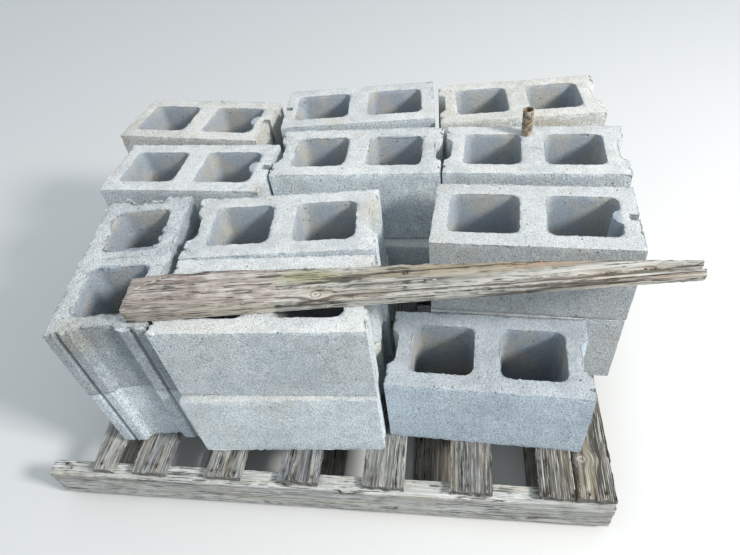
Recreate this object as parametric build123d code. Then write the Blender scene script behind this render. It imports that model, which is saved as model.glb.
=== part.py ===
from build123d import *
import os

os.makedirs("parts", exist_ok=True)

# A wooden pallet stacked with hollow concrete blocks. All sizes are in millimetres.
# The origin is the middle of the pallet's footprint, on the ground. +X runs along the
# stringers, +Y runs along the deck boards to the back, +Z is up.

# Pallet
pallet_length = 1219.0
pallet_depth = 1016.0
stringer_width = 38.0
stringer_height = 89.0
board_thickness = 16.0
board_setback = 5.0
bottom_board_width = 89.0
# The left lead board has split along its grain: this much of its width is left at the
# front, and the split runs out at its left edge this share of its length back.
lead_board_width = 140.0
lead_board_inset = 18.0
lead_board_left = 49.0
lead_board_split = 0.906
# The boards between: the middle of each as a share of the pallet's length, and its width.
deck_boards = {
    "deck_board_2": (-0.302, 81.0),
    "deck_board_3": (-0.1612, 82.0),
    "deck_board_4": (-0.0254, 90.0),
    "deck_board_5": (0.123, 90.0),
    "deck_board_6": (0.2711, 86.0),
}
# The last two lie side by side at the right end.
last_board_width = 75.0
last_board_gap = 1.5
next_to_last_width = 71.0

# Blocks. Two blocks and a mortar joint side by side are as long as one block.
block_width = 194.0
block_height = 194.0
mortar_joint = 9.0
shell = 37.5
centre_web = 55.0
end_wall = 32.0
plain_end_wall = 35.0
core_corner = 18.0
core_draft = 1.2
recess_depth = 15.0
recess_mouth = 94.0
recess_floor = 60.0
recess_round = 6.0
groove_offset = 71.0
groove_depth = 5.0
groove_width = 12.0
slot_width = 12.0
slot_depth = 17.0
boss_radius = 24.0
boss_reach = 17.0

# Where the blocks stand. The first stands by its middle. Each later one is set down by one
# of its corners, so far along X and Y from a corner of a block that already stands. The
# corners are named as if every block lay along X. Turns are in degrees.
first_block = "third_row_middle"
first_block_x = -59.6
first_block_y = -117.9
first_block_turn = 4.0
# Name, kind, turn, its corner, the standing block, that block's corner, step in X and in Y.
later_blocks = [
    ("front_middle", "stretcher", 2.1, "back_left", "third_row_middle", "front_left", -2.4, -1.6),
    ("front_left", "stretcher", 6.5, "front_left", "front_middle", "front_left", -4.9, 12.5),
    ("front_right", "stretcher", -2.8, "front_left", "front_middle", "front_right", 7.1, 28.1),
    ("third_row_right", "slot_right", -3.7, "front_right", "front_right", "back_right", 76.6, -2.3),
    ("second_row_left", "slot_right", -2.7, "front_left", "front_left", "back_right", -51.1, 47.5),
    ("second_row_middle", "stretcher", -0.9, "back_left", "second_row_left", "back_right", 2.7, 61.9),
    ("second_row_right", "stretcher", -3.0, "front_left", "second_row_middle", "front_right", 2.4, 0.7),
    ("back_left", "slot_right", -7.1, "front_right", "second_row_left", "back_right", -67.5, 17.9),
    ("back_middle", "slot_left", 3.5, "front_left", "second_row_middle", "back_left", -21.0, 13.4),
    ("back_right", "stretcher", 3.4, "front_left", "second_row_right", "back_left", -17.6, 16.3),
]
# One block lies crosswise, and one has nothing on top of it.
crosswise_block = "front_left"
bare_block = "front_right"
# The lower layer stands under the top one, a little askew where it shows: the shift in X
# and in Y, and the turn.
lower_shift = {
    "second_row_middle": (0.0, -28.0, 0.0),
    "third_row_middle": (4.0, 0.0, 0.0),
    "third_row_right": (-2.5, -2.2, 0.7),
    "front_middle": (-2.3, -11.9, 1.2),
    "front_left": (-0.5, 3.5, -0.9),
}

# The loose board lying across the top, a length of two-by-four. Its front edge is whole.
# Its back has split away along a curve that thins it to the right, its right end has
# split open, and its top slopes from full thickness down to the thin part.
plank_length = 1010.0
plank_width = 89.0
plank_thickness = 38.0
plank_turn = 6.6
# Its front left corner, from the front left corner of the front middle block.
plank_left_of_block = 43.9
plank_behind_block = 22.0
plank_chip_length = 60.0
plank_chip_width = 8.0
plank_split_start = 150.0
plank_split_bow = 10.0
plank_split_end = (1.0, -0.12)
plank_tip_width = 36.0
plank_tip_extra = 8.0
plank_tip_thickness = 20.0
plank_thin = 24.0
plank_thin_from = 390.0
plank_fork_depth = 72.0
plank_fork_gap = 12.0
plank_fork_at = 21.0

# The short piece of pipe standing on the right block of the second row.
pipe_radius = 12.5
pipe_wall = 2.5
pipe_height = 63.0
pipe_left_of_middle = 14.0
pipe_from_back_edge = 36.0

block_length = 2 * block_width + mortar_joint
stringer_base = board_thickness
stringer_top = stringer_base + stringer_height
deck_top = stringer_top + board_thickness
layer_1_top = deck_top + block_height
layer_2_top = layer_1_top + block_height
quarter_turn = 90.0
# How far a cutting shape runs past the face that it cuts.
past_face = 1.0


def plate(outline, height):
    """A flat piece with this outline, standing on z = 0."""
    face = make_face(Polyline(*outline, close=True))
    return extrude(face, amount=height)


def bar(x_size, y_size, z_size, x, y, z):
    """A plain sawn piece, by its middle in X and Y and its underside."""
    return Pos(x, y, z) * Box(
        x_size, y_size, z_size, align=(Align.CENTER, Align.CENTER, Align.MIN)
    )


def rod(radius, height):
    """A round piece standing on z = 0."""
    return Cylinder(radius, height, align=(Align.CENTER, Align.CENTER, Align.MIN))


def core(x_inner, x_outer, boss_at=None):
    """The hole through a block, wider at the bottom. A boss around a slot reaches into it."""
    x_min = min(x_inner, x_outer)
    x_max = max(x_inner, x_outer)
    size = (x_max - x_min, block_width - 2 * shell, block_height)
    hole = Box(*size, align=(Align.CENTER, Align.CENTER, Align.MAX))
    sides = hole.faces().filter_by(Axis.Z, reverse=True)
    hole = draft(sides, Plane.XY, core_draft)
    half_way = -block_height / 2
    corners = hole.edges().filter_by(lambda edge: abs(edge.center().Z - half_way) < core_corner)
    hole = fillet(corners, core_corner)
    hole = Pos((x_min + x_max) / 2, 0, block_height) * hole
    if boss_at is None:
        return hole
    return hole - Pos(boss_at, 0, 0) * rod(boss_radius, block_height)


def end_recess(side):
    """The shallow recess in the middle of a flanged end, with sloping sides."""
    x_end = side * block_length / 2
    x_floor = x_end - side * recess_depth
    x_out = x_end + side * recess_depth
    slope = (recess_mouth - recess_floor) / 2 / recess_depth
    half_out = recess_mouth / 2 + slope * recess_depth
    outline = [
        (x_out, -half_out),
        (x_out, half_out),
        (x_floor, recess_floor / 2),
        (x_floor, -recess_floor / 2),
    ]
    prism = plate(outline, block_height)
    floor_edges = prism.edges().filter_by(Axis.Z).sort_by(Axis.X)
    floor_edges = floor_edges[:2] if side > 0 else floor_edges[-2:]
    return fillet(floor_edges, recess_round)


def end_grooves(side):
    """The two V grooves down a flanged end, one in each flange."""
    x_end = side * block_length / 2
    cuts = []
    for y in (-groove_offset, groove_offset):
        outline = [
            (x_end - side * groove_depth, y),
            (x_end + side * groove_depth, y - groove_width),
            (x_end + side * groove_depth, y + groove_width),
        ]
        cuts.append(plate(outline, block_height))
    return cuts


def flanged_end(side):
    return [end_recess(side)] + end_grooves(side)


def slotted_end(side):
    x_middle = side * (block_length / 2 - slot_depth / 2)
    return [bar(slot_depth, slot_width, block_height, x_middle, 0, 0)]


def make_block(kind):
    """A block standing on z = 0 with its length along X."""
    body = bar(block_length, block_width, block_height, 0, 0, 0)
    half_web = centre_web / 2
    cuts = []
    for side in (-1, 1):
        if kind == "stretcher":
            x_outer = side * (block_length / 2 - recess_depth - end_wall)
            cuts.append(core(side * half_web, x_outer))
            cuts.extend(flanged_end(side))
            continue
        x_outer = side * (block_length / 2 - plain_end_wall)
        if kind == "slot_right" and side > 0 or kind == "slot_left" and side < 0:
            boss_at = x_outer + side * (boss_radius - boss_reach)
            cuts.append(core(side * half_web, x_outer, boss_at))
            cuts.extend(slotted_end(side))
        else:
            cuts.append(core(side * half_web, x_outer))
    for cut in cuts:
        body = body - cut
    return body


def corner_of(place, corner):
    """Where a corner of a block is in plan, for a block that stands at this place."""
    x, y, turn = place
    along = block_length / 2 if "right" in corner else -block_length / 2
    across = block_width / 2 if "back" in corner else -block_width / 2
    point = (Pos(x, y, 0) * Rot(0, 0, turn) * Pos(along, across, 0)).position
    return point.X, point.Y


def save(shape, name):
    solids = shape.solids()
    whole = solids[0] if len(solids) == 1 else Compound(solids)
    export_step(whole, f"parts/{name}.step")


# Pallet frame: three stringers, and the boards under them.
stringer_y = (pallet_depth - stringer_width) / 2
for name, y in (
    ("stringer_front", -stringer_y),
    ("stringer_middle", 0.0),
    ("stringer_back", stringer_y),
):
    save(bar(pallet_length, stringer_width, stringer_height, 0, y, stringer_base), name)

board_length = pallet_depth - 2 * board_setback
lead_inner_edge = pallet_length / 2 - lead_board_inset - lead_board_width
bottom_reach = lead_inner_edge + bottom_board_width / 2
for i, share in enumerate((-1.0, -0.5, 0.0, 0.5, 1.0), start=1):
    board = bar(bottom_board_width, board_length, board_thickness, share * bottom_reach, 0, 0)
    save(board, f"bottom_board_{i}")

# Deck boards, from left to right.
front = -board_length / 2
back = board_length / 2
lead_outline = [
    (-lead_inner_edge - lead_board_left, front),
    (-lead_inner_edge, front),
    (-lead_inner_edge, back),
    (-lead_inner_edge - lead_board_width, back),
    (-lead_inner_edge - lead_board_width, front + lead_board_split * board_length),
]
save(Pos(0, 0, stringer_top) * plate(lead_outline, board_thickness), "deck_board_1")
deck = [(name, share * pallet_length, width) for name, (share, width) in deck_boards.items()]
last_left_edge = pallet_length / 2 - last_board_width
next_to_last_x = last_left_edge - last_board_gap - next_to_last_width / 2
deck.append(("deck_board_7", next_to_last_x, next_to_last_width))
deck.append(("deck_board_8", last_left_edge + last_board_width / 2, last_board_width))
for name, x, width in deck:
    save(bar(width, board_length, board_thickness, x, 0, stringer_top), name)

# Blocks: where each stands and its kind, then the two layers.
places = {first_block: (first_block_x, first_block_y, first_block_turn)}
kinds = {first_block: "stretcher"}
for name, kind, turn, own_corner, other, other_corner, step_x, step_y in later_blocks:
    if name == crosswise_block:
        turn = turn + quarter_turn
    other_x, other_y = corner_of(places[other], other_corner)
    corner_x, corner_y = corner_of((0, 0, turn), own_corner)
    places[name] = (other_x + step_x - corner_x, other_y + step_y - corner_y, turn)
    kinds[name] = kind

block_shapes = {kind: make_block(kind) for kind in ("stretcher", "slot_right", "slot_left")}
for name, (x, y, turn) in places.items():
    block = block_shapes[kinds[name]]
    if name != bare_block:
        save(Pos(x, y, layer_1_top) * Rot(0, 0, turn) * block, f"top_block_{name}")
    shift_x, shift_y, shift_turn = lower_shift.get(name, (0.0, 0.0, 0.0))
    lower = Pos(x + shift_x, y + shift_y, deck_top) * Rot(0, 0, turn + shift_turn) * block
    save(lower, f"lower_block_{name}")

# The loose board: a sawn length, cut by its split back, its forked end and its top's slope.
plank_tip = plank_length + plank_tip_extra
split_middle = (plank_split_start + plank_length) / 2
split_line = Spline(
    (plank_split_start, plank_width),
    (split_middle, (plank_width + plank_tip_width) / 2 + plank_split_bow),
    (plank_tip, plank_tip_width),
    tangents=[(1, 0), plank_split_end],
)
plank_face = make_face(
    [
        Line((0, 0), (plank_length, 0)),
        Line((plank_length, 0), (plank_tip, plank_tip_width)),
        split_line,
        Line((plank_split_start, plank_width), (plank_chip_length, plank_width)),
        Line((plank_chip_length, plank_width), (0, plank_width - plank_chip_width)),
        Line((0, plank_width - plank_chip_width), (0, 0)),
    ]
)
plank = extrude(plank_face, amount=plank_thickness)
fork = [
    (plank_length - plank_fork_depth, plank_fork_at),
    (plank_tip + past_face, plank_fork_at - plank_fork_gap / 2),
    (plank_tip + past_face, plank_fork_at + plank_fork_gap / 2),
]
plank = plank - plate(fork, plank_thickness)
above = [
    (-past_face, plank_thickness),
    (plank_thin_from, plank_thin),
    (plank_tip + past_face, plank_tip_thickness),
    (plank_tip + past_face, plank_thickness + past_face),
    (-past_face, plank_thickness + past_face),
]
above_face = make_face(Plane.XZ * Polyline(*above, close=True))
plank = plank - extrude(above_face, amount=-plank_width)
block_x, block_y = corner_of(places["front_middle"], "front_left")
plank_place = Pos(block_x - plank_left_of_block, block_y + plank_behind_block, layer_2_top)
save(plank_place * Rot(0, 0, plank_turn) * plank, "loose_board")

# The piece of pipe.
x, y, turn = places["second_row_right"]
pipe = rod(pipe_radius, pipe_height) - rod(pipe_radius - pipe_wall, pipe_height)
pipe_spot = Pos(-pipe_left_of_middle, block_width / 2 - pipe_from_back_edge, 0)
save(Pos(x, y, layer_2_top) * Rot(0, 0, turn) * pipe_spot * pipe, "pipe_stub")
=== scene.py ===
import math
import random

import bmesh
import bpy
from mathutils import Matrix, Vector, kdtree


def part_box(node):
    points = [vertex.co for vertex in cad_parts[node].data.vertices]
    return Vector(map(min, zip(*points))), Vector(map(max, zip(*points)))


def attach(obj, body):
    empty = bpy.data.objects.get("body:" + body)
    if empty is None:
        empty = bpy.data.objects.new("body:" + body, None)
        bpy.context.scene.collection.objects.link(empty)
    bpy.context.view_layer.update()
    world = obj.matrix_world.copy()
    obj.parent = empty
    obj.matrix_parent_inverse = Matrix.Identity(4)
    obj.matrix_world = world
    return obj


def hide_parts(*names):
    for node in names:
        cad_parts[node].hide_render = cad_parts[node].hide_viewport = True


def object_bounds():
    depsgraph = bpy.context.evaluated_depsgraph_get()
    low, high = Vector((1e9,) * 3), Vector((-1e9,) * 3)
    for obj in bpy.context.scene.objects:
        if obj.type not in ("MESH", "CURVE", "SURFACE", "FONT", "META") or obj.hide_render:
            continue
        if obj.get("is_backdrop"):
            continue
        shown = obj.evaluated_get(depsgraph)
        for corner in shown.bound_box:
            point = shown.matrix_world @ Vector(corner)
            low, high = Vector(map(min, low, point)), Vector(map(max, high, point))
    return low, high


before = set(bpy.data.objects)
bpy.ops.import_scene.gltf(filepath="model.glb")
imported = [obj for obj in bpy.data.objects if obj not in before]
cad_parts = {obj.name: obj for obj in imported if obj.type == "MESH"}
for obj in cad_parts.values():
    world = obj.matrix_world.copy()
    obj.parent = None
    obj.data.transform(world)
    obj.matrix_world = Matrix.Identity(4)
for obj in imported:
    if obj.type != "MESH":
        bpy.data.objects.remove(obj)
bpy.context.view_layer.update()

scene = bpy.context.scene

# Sizes are in metres, and the camera's lens and sensor in millimetres.
CAMERA_PLACE = (0.3004, -1.0139, 1.2516)
CAMERA_TURN = (44.72, 8.36, 0.42)
CAMERA_LENS = 27.94
CAMERA_SENSOR = 36

camera = bpy.data.objects.new("camera", bpy.data.cameras.new("camera"))
scene.collection.objects.link(camera)
camera.location = CAMERA_PLACE
camera.rotation_mode = "YXZ"
camera.rotation_euler = [math.radians(angle) for angle in CAMERA_TURN]
camera.data.lens = CAMERA_LENS
camera.data.sensor_width = CAMERA_SENSOR
scene.camera = camera


# Finishes

def tone(red, green, blue):
    """A colour as it looks, each part from 0 to 255, for a shader's socket."""
    parts = [part / 255 for part in (red, green, blue)]
    parts = [part / 12.92 if part < 0.04045 else ((part + 0.055) / 1.055) ** 2.4 for part in parts]
    return (*parts, 1.0)


# Core walls: a darker, bluer painted shade, with tan that is partly sandy dirt and partly painted warm
# sunlight.
CORE_SHADE_BLUE = tone(170, 182, 194)
CORE_SAND_AND_SUN = tone(194, 192, 184)
AGGREGATE = tone(116, 123, 128)
PIT = tone(84, 88, 90)
# Painted shade for the bottoms of the V grooves, the corners of the recesses and the slot.
GROOVE_SHADE = tone(104, 106, 104)
DULL_WOOD = tone(112, 108, 112)
BARE_WOOD = tone(212, 204, 196)
PALE_FRONT = tone(214, 203, 186)
DARK_LINE = tone(84, 82, 76)
PALE_STRAND = tone(228, 227, 221)
PALE_RING = tone(226, 223, 214)
DARK_RING = tone(88, 82, 74)
WOOD_DIRT = tone(98, 91, 80)
KNOT_WOOD = tone(206, 203, 194)
KNOT_RING = tone(84, 74, 64)
OPEN_CHECK = tone(46, 43, 39)
NICK = tone(52, 49, 45)
RUST_STAIN = tone(66, 50, 40)
END_GRAIN = tone(120, 120, 114)
PIPE_BROWN = tone(122, 100, 78)
PIPE_BEIGE = tone(194, 186, 168)
PIPE_FLECK = tone(52, 44, 38)
NAIL_DARK = tone(40, 35, 33)
NAIL_RUST = tone(76, 61, 52)
DULL_SHINE = 0.25
# How deep the finishes' own relief is.
CONCRETE_RELIEF = 0.0014
WOOD_RELIEF = 0.0010
PIPE_RELIEF = 0.0007
NAIL_RELIEF = 0.0006


class Wire:
    """What comes out of a node. Arithmetic on it adds Math nodes."""

    def __init__(self, finish, socket):
        self.finish = finish
        self.socket = socket

    def math(self, operation, *values):
        return self.finish.node("Math", {"operation": operation}, dict(enumerate(values)))

    def __add__(self, other):
        return self.math("ADD", self, other)

    def __sub__(self, other):
        return self.math("SUBTRACT", self, other)

    def __rsub__(self, other):
        return self.math("SUBTRACT", other, self)

    def __mul__(self, other):
        return self.math("MULTIPLY", self, other)

    def __truediv__(self, other):
        return self.math("DIVIDE", self, other)

    def __abs__(self):
        return self.math("ABSOLUTE", self)

    __radd__ = __add__
    __rmul__ = __mul__

    def sine(self):
        return self.math("SINE", self)

    def between(self, low, high):
        """0 below low, 1 above high, and a soft step from one to the other."""
        sockets = {"Value": self, "From Min": low, "From Max": high}
        return self.finish.node("MapRange", {"interpolation_type": "SMOOTHSTEP"}, sockets)


class Finish:
    """A material, and the nodes that give it its colour and its surface."""

    def __init__(self, name, shift=(0, 0, 0), turn=0):
        self.material = bpy.data.materials.new(name)
        self.material.use_nodes = True
        self.tree = self.material.node_tree
        self.shader = self.tree.nodes["Principled BSDF"]
        place = self.node("TexCoord", output="Object")
        self.place = self.node(
            "Mapping", {"vector_type": "TEXTURE"},
            {"Vector": place, "Location": shift, "Rotation": (0, 0, math.radians(turn))},
        )

    def node(self, kind, settings=None, sockets=None, output=0):
        node = self.tree.nodes.new("ShaderNode" + kind)
        for name, value in (settings or {}).items():
            setattr(node, name, value)
        for name, value in (sockets or {}).items():
            self.join(value, node.inputs[name])
        return Wire(self, node.outputs[output])

    def join(self, value, socket):
        if isinstance(value, Wire):
            self.tree.links.new(value.socket, socket)
        else:
            socket.default_value = value

    def give(self, **sockets):
        """Joins values to the shader, and hands over the finished material."""
        for name, value in sockets.items():
            self.join(value, self.shader.inputs[name.replace("_", " ")])
        return self.material

    def noise(self, place, scale, detail=2.0, rough=0.5):
        sockets = {"Vector": place, "Scale": scale, "Detail": detail, "Roughness": rough}
        return self.node("TexNoise", {}, sockets)

    def cells(self, place, scale, output="Distance"):
        sockets = {"Vector": place, "Scale": scale}
        return self.node("TexVoronoi", {}, sockets, output)

    def mix(self, amount, first, second, blend="MIX"):
        settings = {"data_type": "RGBA", "blend_type": blend}
        return self.node("Mix", settings, {0: amount, 6: first, 7: second}, 2)

    def cover(self, colour, *layers):
        """A colour with others over it. A layer is how much of it shows, and its colour."""
        for amount, over in layers:
            colour = self.mix(amount, colour, over)
        return colour

    def shaded(self, colour, amount):
        """The colour, lighter or darker by a value around 1."""
        return self.mix(1.0, colour, amount, "MULTIPLY")

    def vector(self, operation, first, second, output=0):
        return self.node("VectorMath", {"operation": operation}, {0: first, 1: second}, output)

    def attribute(self, name):
        return self.node("Attribute", {"attribute_name": name}, {}, "Fac")

    def bump(self, height, depth):
        return self.node("Bump", {}, {"Height": height, "Distance": depth})

    def facing(self):
        """The way that the surface faces."""
        return self.node("NewGeometry", output="Normal")

    def upright(self):
        """1 on faces that stand upright or look down, 0 on those that look up."""
        return 1 - self.node("SeparateXYZ", {}, {0: self.facing()}, "Z").between(0.45, 0.8)


def concrete(name, face, shade, stain, stained, sides, shift, coarse=1.0, side_sky_tint=(0.94, 1.0, 1.05)):
    """Cast concrete: a pale skin of sand and aggregate, with pits, stains and smoother core walls, which
    are painted in a darker, bluer shade with sandy and sunlit tan patches. Coarse says how much grit
    shows. Sides and the sky tint multiply the colour of the upright faces: partly each block's own tone,
    partly painted shade and bluish sky light."""
    finish = Finish(name, shift)
    place, noise = finish.place, finish.noise
    broad = noise(place, 6, 3)
    patch = noise(place, 31, 4, 0.6)
    lumps = noise(place, 150, 3, 0.6)
    specks = noise(place, 250, 2, 0.7)
    grit = noise(place, 450, 2, 0.8)
    sand = noise(place, 1000, 1, 0.8)
    mottle = noise(place, 330, 2, 0.8)
    flecks = finish.cells(place, 420, "Color")
    hole = (1 - finish.cells(place, 60).between(0.08, 0.17)) * noise(place, 40, 1).between(0.55, 0.62)
    inside = finish.attribute("inside")
    upright = finish.upright() * (1 - inside)

    paler = (broad * 0.5 + patch * 0.5).between(0.36, 0.6)
    blotches = noise(place, 9, 4, 0.65).between(0.5, 0.72) * stained
    sand_and_sunlit = noise(place, 15, 4, 0.6).between(0.4, 0.66)
    # The core walls take a painted bluish shade, patched with sand and painted warm sunlight.
    skin = finish.cover(
        tone(*shade), (paler, tone(*face)), (blotches, tone(*stain)),
        (inside * 0.85, finish.mix(sand_and_sunlit, CORE_SHADE_BLUE, CORE_SAND_AND_SUN)),
        (finish.attribute("stain") * (0.35 + patch * 0.9), tone(*stain)),
    )
    # Upright faces painted darker or paler, and bluer: painted shade and sky light, partly the block's own
    # tone.
    skin = finish.mix(upright, skin, finish.shaded(skin, (*[part * sides for part in side_sky_tint], 1)))
    dust = (grit - 0.5) * (1.3 * coarse) + (sand - 0.5) * 0.8 + (flecks - 0.5) * (0.3 * coarse)
    dust = dust + (mottle - 0.5) * (0.4 + upright * 1.6)
    skin = finish.cover(
        finish.shaded(skin, 1 + dust * (1 - inside * 0.4)),
        ((1 - specks.between(0.31, 0.42)) * (0.5 * coarse), AGGREGATE),
        (hole * 0.7, PIT),
        # Painted shade, under the mark dirt, in the grooves, the recess corners and the slot.
        (finish.attribute("dirt") * (0.2 + grit * 0.7), GROOVE_SHADE),
    )
    height = lumps * 0.8 + grit * (1.1 * coarse) + sand * 0.4 - hole * 1.3 + flecks * (0.25 * coarse)
    return finish.give(
        Base_Color=skin,
        Roughness=0.86 + (patch - 0.5) * 0.2,
        Normal=finish.bump(height, CONCRETE_RELIEF),
        Specular_IOR_Level=DULL_SHINE,
    )


def from_knot(finish, knot, share):
    """The way from a knot in plan, with a share of what is along x, and its length in radii."""
    x, y, radius = knot
    offset = finish.vector("SUBTRACT", finish.place, (x, y, 0))
    offset = finish.vector("MULTIPLY", offset, (share, 1, 0))
    return offset, finish.vector("LENGTH", offset, (0, 0, 0), "Value") / radius


def bent_round(finish, knots):
    """Places for the grain, bent round the knots."""
    bent = finish.place
    for knot in knots:
        offset, apart = from_knot(finish, knot, 0.6)
        pull = 0.9 - apart.between(0.4, 3.2) * 0.9
        bent = finish.vector("SUBTRACT", bent, finish.vector("MULTIPLY", offset, pull))
    return bent


def knotted(finish, wood, knots, fine):
    """Wood with its knots: pale in the middle, with dark rings."""
    for knot in knots:
        apart = from_knot(finish, knot, 0.8)[1] + (fine - 0.5) * 0.4
        ring = ((apart * 9).sine() * 0.5 + 0.5).between(0.4, 1.0) * (1 - apart.between(0.9, 1.6))
        wood = finish.cover(
            wood, ((1 - apart.between(0.7, 1.2)) * 0.6, KNOT_WOOD), (ring * 0.6, KNOT_RING)
        )
    return wood


def browned(finish, wood, left, flaked, wander, colour):
    """Wood that is brown on the left, bleached in spots, and paler on its upright faces."""
    upright = finish.upright()
    bare = finish.noise(flaked, 90, 4, 0.7).between(0.46, 0.58)
    bare = bare * finish.noise(finish.place, 30, 3).between(0.4, 0.55)
    return finish.cover(
        wood,
        (left * (1 - upright * 0.6) * (0.4 + wander * 0.7), tone(*colour)),
        (left * bare * 0.85, BARE_WOOD),
        (left * upright * (0.25 + wander * 0.6), PALE_FRONT),
    )


def sawn_wood(name, light, dark, tint, along, shift, turn=0, knots=(), end=END_GRAIN, brown=None,
              lively=1.0, ringed=0.25, patches=()):
    """Weathered wood: long grain, dark checks, dirt, and end grain where a board is cut.
    Brown is where the brown part ends, how softly, and its colour. Lively and ringed say how much
    the fibres and the growth rings show. A patch is an attribute's name, and a colour."""
    finish = Finish(name, shift, turn)
    place, noise = finish.place, finish.noise
    bent = bent_round(finish, knots)
    grained = finish.vector("MULTIPLY", bent, (0.022, 1, 1) if along == "x" else (1, 0.022, 1))
    flaked = finish.vector("MULTIPLY", bent, (0.07, 1, 1) if along == "x" else (1, 0.07, 1))
    wander = noise(place, 13, 3)
    streaks = noise(grained, 130, 3, 0.65)
    fine = noise(grained, 480, 2, 0.7)
    hairs = noise(flaked, 820, 2, 0.75)
    rings = ((noise(grained, 26, 2) + wander * 0.05) * 44).sine() * 0.5 + 0.5
    checks = 1 - abs(noise(grained, 95, 2) - 0.5).between(0.006, 0.026)
    checks = checks * noise(place, 19, 2).between(0.46, 0.58)
    nicks = (1 - noise(flaked, 380, 2, 0.6).between(0.35, 0.41)) * wander.between(0.36, 0.5)
    dirt = noise(place, 24, 4, 0.65).between(0.48, 0.72)
    lines = 1 - fine.between(0.37, 0.46)
    strands = fine.between(0.56, 0.64) * (1 - lines)

    wood = finish.cover(
        tone(*dark),
        (streaks.between(0.25, 0.75) * 0.5 + wander.between(0.3, 0.7) * 0.5, tone(*light)),
        (noise(flaked, 40, 3, 0.65).between(0.5, 0.62) * 0.6, tone(*tint)),
        (noise(flaked, 70, 3, 0.65).between(0.53, 0.64) * 0.5, DULL_WOOD),
    )
    if brown:
        step, width, colour = brown
        reach = finish.node("SeparateXYZ", {}, {0: place}, "X") + (streaks - 0.5) * 0.003
        left = 1 - reach.between(step - width, step + width)
        wood = browned(finish, wood, left, flaked, wander, colour)
        ringed = (1 - left * 0.7) * ringed
    wood = finish.cover(
        finish.shaded(wood, 1 + (fine - 0.5) * (0.9 * lively) + (hairs - 0.5) * (0.7 * lively)),
        (lines * (0.5 * lively), DARK_LINE),
        (strands * (0.5 * lively), PALE_STRAND),
        ((1 - rings).between(0.6, 1.0) * (ringed * 0.6), PALE_RING),
        *[(finish.attribute(patch) * (0.4 + wander * 0.9), tone(*colour)) for patch, colour in patches],
        (rings.between(0.62, 1.0) * ringed, DARK_RING),
        (dirt * 0.3, WOOD_DIRT),
    )
    angle = math.radians(turn if along == "x" else turn + 90)
    way = (math.cos(angle), math.sin(angle), 0)
    cut_end = abs(finish.vector("DOT_PRODUCT", finish.facing(), way, "Value")).between(0.55, 0.8)
    pores = noise(finish.vector("MULTIPLY", place, (1, 1, 2.2)), 260, 3, 0.7)
    wood = finish.cover(
        knotted(finish, wood, knots, fine),
        (checks * 0.8, OPEN_CHECK),
        (nicks * 0.75, NICK),
        (cut_end * 0.85, finish.shaded(end, 0.5 + pores)),
        (finish.attribute("rust") * (0.55 + fine * 0.5), RUST_STAIN),
    )
    height = fine * 1.2 + hairs * 0.6 + streaks * 0.5 - checks * 1.6 - nicks * 1.2 - rings * 0.3
    return finish.give(
        Base_Color=wood,
        Roughness=0.8 + (fine - 0.5) * 0.25,
        Normal=finish.bump(height, WOOD_RELIEF),
        Specular_IOR_Level=DULL_SHINE,
    )


def pipe_finish():
    """Old pipe: blotches of beige and brown, and dark flecks that run down it aslant."""
    finish = Finish("pipe_mottled")
    blotch = finish.noise(finish.place, 60, 4, 0.6)
    slant = {"Vector": finish.place, "Rotation": (0.5, 0.9, 0.2), "Scale": (1, 1, 0.3)}
    flecks = finish.noise(finish.node("Mapping", {}, slant), 300, 3, 0.7)
    flecks = 1 - flecks.between(0.36, 0.46)
    scale = finish.noise(finish.place, 700, 2)
    skin = finish.mix(blotch.between(0.38, 0.62), PIPE_BROWN, PIPE_BEIGE)
    skin = finish.mix(flecks * 0.85, skin, PIPE_FLECK)
    return finish.give(
        Base_Color=finish.shaded(skin, 0.85 + scale * 0.3),
        Roughness=0.62 + flecks * 0.25,
        Metallic=0.25 * (1 - flecks),
        Normal=finish.bump(blotch * 0.6 + scale * 0.5 - flecks * 0.8, PIPE_RELIEF),
    )


def nail_finish():
    """Dark rust, with a little bare metal."""
    finish = Finish("nail_rust")
    blotch = finish.noise(finish.place, 420, 4, 0.7)
    return finish.give(
        Base_Color=finish.mix(blotch.between(0.4, 0.62), NAIL_DARK, NAIL_RUST),
        Roughness=0.7 + blotch * 0.2,
        Metallic=0.4 * (1 - blotch),
        Normal=finish.bump(blotch, NAIL_RELIEF),
    )


# Ways of working

X, Y, Z = (1, 0, 0), (0, 1, 0), (0, 0, 1)
SHARP_ANGLE = math.radians(20)
SOFTENED_ANGLE = math.radians(30)
TINY = 1e-6
NEAR = 0.001
RIM = 0.005


def only(obj):
    """Selects one object and nothing else."""
    bpy.ops.object.select_all(action="DESELECT")
    bpy.context.view_layer.objects.active = obj
    obj.select_set(True)


def open_up(obj):
    only(obj)
    bpy.ops.object.mode_set(mode="EDIT")
    bpy.ops.mesh.select_all(action="DESELECT")


def close(obj):
    bpy.ops.object.mode_set(mode="OBJECT")
    return obj


def pick(obj, kind, rule):
    """Selects the corners, edges or faces that a rule holds for."""
    bpy.ops.mesh.select_mode(type=kind)
    bpy.ops.mesh.select_all(action="DESELECT")
    mesh = bmesh.from_edit_mesh(obj.data)
    parts = {"VERT": mesh.verts, "EDGE": mesh.edges, "FACE": mesh.faces}[kind]
    for part in parts:
        if rule(part):
            part.select_set(True)
    mesh.select_flush_mode()
    bmesh.update_edit_mesh(obj.data, loop_triangles=False, destructive=False)


def block_of(low, high, name):
    """A sawn or cast start, by its lowest and highest corner."""
    size = [top - bottom for bottom, top in zip(low, high)]
    middle = [(top + bottom) / 2 for bottom, top in zip(low, high)]
    bpy.ops.mesh.primitive_cube_add(size=1, location=middle, scale=size)
    bpy.ops.object.transform_apply()
    bpy.context.object.name = name
    return bpy.context.object


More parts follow.
